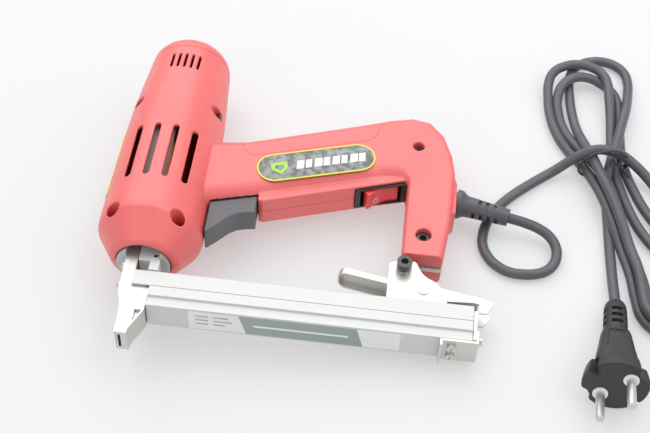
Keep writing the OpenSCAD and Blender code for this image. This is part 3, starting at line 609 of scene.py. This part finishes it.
TIE_ACROSS, TIE_ALONG = Vector((0.97, 0.25, 0)), Vector((0.25, -0.97, 0))   # of the hank's neck
TIE_MIDDLE = Vector((262.5, 160.5, -18.6))
TIE_HALF_W, TIE_OVER, TIE_UNDER = 15.6, 11.2, 10.6      # the loop's half-width, and its reach up and down
TIE_FROM, TIE_TURN, TIE_STEPS = -60, 500, 44            # where the loop starts and how far it goes, in degrees
TIE_PITCH = 2.2                                         # how far it moves along the neck
TWIST_FROM, TWIST_RUN = Vector((268, 156, -10.6)), Vector((9, -8, 0))
TWIST_DROP, TWIST_R, TWIST_STEPS = 5, 0.7, 29


def make_tie():
    """A twist tie: nearly one and a half turns of coated wire round the hank's neck, and its twisted ends."""
    loop = []
    for i in range(TIE_STEPS + 1):
        a = math.radians(TIE_FROM + TIE_TURN * i / TIE_STEPS)
        rise = (TIE_OVER if math.sin(a) > 0 else TIE_UNDER) * math.sin(a)
        spot = TIE_MIDDLE + TIE_ACROSS * (TIE_HALF_W * math.cos(a)) + Vector((0, 0, rise))
        loop.append(spot + TIE_ALONG * (TIE_PITCH * i / TIE_STEPS - 1))
    tie = tube("tie_wire", loop, 0.75, 0.8, MATERIALS["black_plastic"], "gun")
    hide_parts("cord_tie")
    for k, spin in enumerate((0, math.pi)):
        twist = []
        for i in range(TWIST_STEPS + 1):
            t = i / TWIST_STEPS
            a = spin + 5 * math.pi * t
            twist.append(TWIST_FROM + TWIST_RUN * t + TIE_ACROSS * (TWIST_R * math.cos(a))
                         + Vector((0, 0, TWIST_R * math.sin(a) - TWIST_DROP * t * t)))
        tube("tie_end_%d" % k, twist, 0.6, 0.8, MATERIALS["black_plastic"], "gun", 8)


make_tie()

# ---------------------------------------------------------------- line of the panel along the handle's top
PANEL_LINE = [
    (46.6, 139.6, 12.9), (46.9, 137.4, 13.5), (47.8, 134.6, 13.85), (49.6, 132, 13.85), (52.2, 130.3, 13.85),
    (55.2, 130.2, 13.85), (58.5, 131.1, 13.85), (75, 136.5, 13.85), (92, 142, 13.85), (108, 147.3, 13.85),
    (118.5, 150.7, 13.85), (122, 152.2, 13.85), (124.3, 154.4, 13.85), (125.6, 157.8, 13.85),
    (126.3, 162.3, 13.7), (126.8, 166.2, 12.9), (127, 168.2, 12.2),
]
tube("panel_line", [point(*place) / MM for place in PANEL_LINE], 0.32, 0.7, EXTRA["line_red"], "gun",
     8)

# ---------------------------------------------------------------- plug
PLUG = (Matrix.Translation(Vector((263.5, -0.6, -12.7)) * MM) @ Matrix.Rotation(math.radians(-3), 4, "Z")
        @ Matrix.Rotation(math.radians(80), 4, "X") @ Matrix.Rotation(math.radians(40), 4, "Z"))
PLUG_UP = 50                    # the way up on the lying plug, degrees from its pins' line
PLUG_SIDES = 120
FLANGE_DEPTH = 10.75            # the flange ends here, behind the face
GRIP_PANEL = (20, 34)           # from and to, behind the face
BOOT_SLOTS = (41.5, 46.5, 51.5)
BOOT_SLOT_W = 2.2
# Depth behind the face, half-width and squareness of the plug's section (2 is round)
PLUG_SECTIONS = [
    (0, 16.9, 2), (0.35, 17.5, 2), (0.9, 17.7, 2), (2.2, 17.6, 2), (6, 16.9, 2), (8.2, 16.4, 2),
    (9.6, 15.9, 2), (10.4, 15.0, 2), (10.7, 13.9, 2), (10.8, 12.6, 2.6), (11.4, 12.0, 3.2), (12.4, 11.7, 3.6),
    (16, 11.1, 3.8), (19.6, 10.5, 3.8), (19.9, 10.4, 3.8), (20.3, 10.3, 3.8), (26, 9.5, 3.6), (31, 8.8, 3.4),
    (33.8, 8.4, 3.2), (34.2, 8.3, 3.2), (35.6, 8.0, 3), (36.2, 7.4, 2.6), (36.8, 6.9, 2.3), (38, 6.8, 2.2),
    (41, 6.75, 2.1), (41.3, 6.75, 2.1), (41.6, 6.75, 2.1), (43.6, 6.7, 2.1), (43.9, 6.7, 2.1),
    (46.3, 6.65, 2.1), (46.6, 6.65, 2.1), (48.6, 6.6, 2.1), (48.9, 6.6, 2.1), (51.3, 6.5, 2.1),
    (51.6, 6.5, 2.1), (53.6, 6.45, 2.1), (53.9, 6.45, 2.1), (57, 6.3, 2), (59, 5.9, 2), (60.6, 5.2, 2),
    (61.6, 4.3, 2), (62, 3.2, 2),
]


def near(angle, middle, half, soft=3):
    """1 within half degrees of the middle, falling to 0 over the next soft degrees."""
    off = abs((angle - middle + 180) % 360 - 180)
    return max(0.0, min(1.0, (half + soft - off) / soft))


def plug_radius(angle, depth, half, square):
    """The plug's radius in millimetres at an angle of the section at a depth."""
    turned = math.radians(angle - PLUG_UP)
    across, up = abs(math.cos(turned)), abs(math.sin(turned))
    radius = half / (across ** square + up ** square) ** (1 / square)
    if depth < FLANGE_DEPTH:
        # Notches of the contour plug: two deep ones beside the pins' line, two shallow ones at its ends
        radius -= (radius - 12.0) * max(near(angle, 98, 7, 2), near(angle, 270, 8, 2))
        radius -= 2.4 * max(near(angle, -8, 8, 8), near(angle, 168, 8, 8))
    if GRIP_PANEL[0] < depth < GRIP_PANEL[1]:
        radius -= 0.8 * near(angle, PLUG_UP - 2, 30, 2) + 0.8 * near(angle, PLUG_UP + 178, 30, 2)
    for slot in BOOT_SLOTS:
        if slot < depth < slot + BOOT_SLOT_W:
            radius -= 1.8 * max(near(angle, PLUG_UP - 6 + 90 * k, 27, 3) for k in range(4))
    return radius


def make_plug():
    rings = []
    for depth, half, square in PLUG_SECTIONS:
        ring = []
        for i in range(PLUG_SIDES):
            angle = 360 * i / PLUG_SIDES
            radius = plug_radius(angle, depth, half, square)
            a = math.radians(angle)
            ring.append(Vector((radius * math.cos(a), radius * math.sin(a), -depth)) * MM)
        rings.append(ring)
    plug = loft("plug_detail", rings, MATERIALS["rubber_black"], "gun", PLUG, 30)
    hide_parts("plug_body")


make_plug()

# ---------------------------------------------------------------- floor and light
FLOOR_GAP = 0.0003              # metres between the gun's lowest point and the floor
FLOOR_HALF = 4
FLOOR_GLOW = 0.40               # the floor shines a little, so that shadows stay as light as a white sweep's
SKY_COLOUR, SKY_STRENGTH = (0.95, 0.975, 1.0, 1), 0.66
MIDDLE = Vector((0.1, 0.1, 0))  # what the lamps point at
# Name, place and size in metres, and power of each lamp
LAMPS = (
    ("key", (-0.12, 0.85, 1.05), 1.7, 14.5),
    ("fill", (0.85, 0.1, 0.9), 1.0, 4.6),
    ("front", (-0.45, -0.8, 0.75), 0.9, 1.8),
)


def make_floor():
    bm = bmesh.new()
    bmesh.ops.create_grid(bm, x_segments=8, y_segments=8, size=FLOOR_HALF)
    floor = mesh_object("floor", bm)
    floor.location = (MIDDLE.x, MIDDLE.y, FLOOR_Z - FLOOR_GAP)
    white = moulded("floor_white", (0.40, 0.402, 0.405), 0.7, grain=300, worn=0.004, spec=0.2, edge=0)
    glow = white.node_tree.nodes["Principled BSDF"]
    glow.inputs["Emission Color"].default_value = (1, 1, 1, 1)
    glow.inputs["Emission Strength"].default_value = FLOOR_GLOW
    paint(floor, white)


def make_light():
    world = bpy.data.worlds.new("studio")
    bpy.context.scene.world = world
    world.use_nodes = True
    sky = world.node_tree.nodes["Background"]
    sky.inputs["Color"].default_value = SKY_COLOUR
    sky.inputs["Strength"].default_value = SKY_STRENGTH
    for name, place, size, power in LAMPS:
        data = bpy.data.lights.new(name, "AREA")
        data.energy, data.size = power, size
        lamp = add(name, data)
        lamp.location = place
        lamp.rotation_euler = (MIDDLE - Vector(place)).to_track_quat("-Z", "Y").to_euler()
    bpy.context.scene.view_settings.view_transform = "Standard"


make_floor()
make_light()
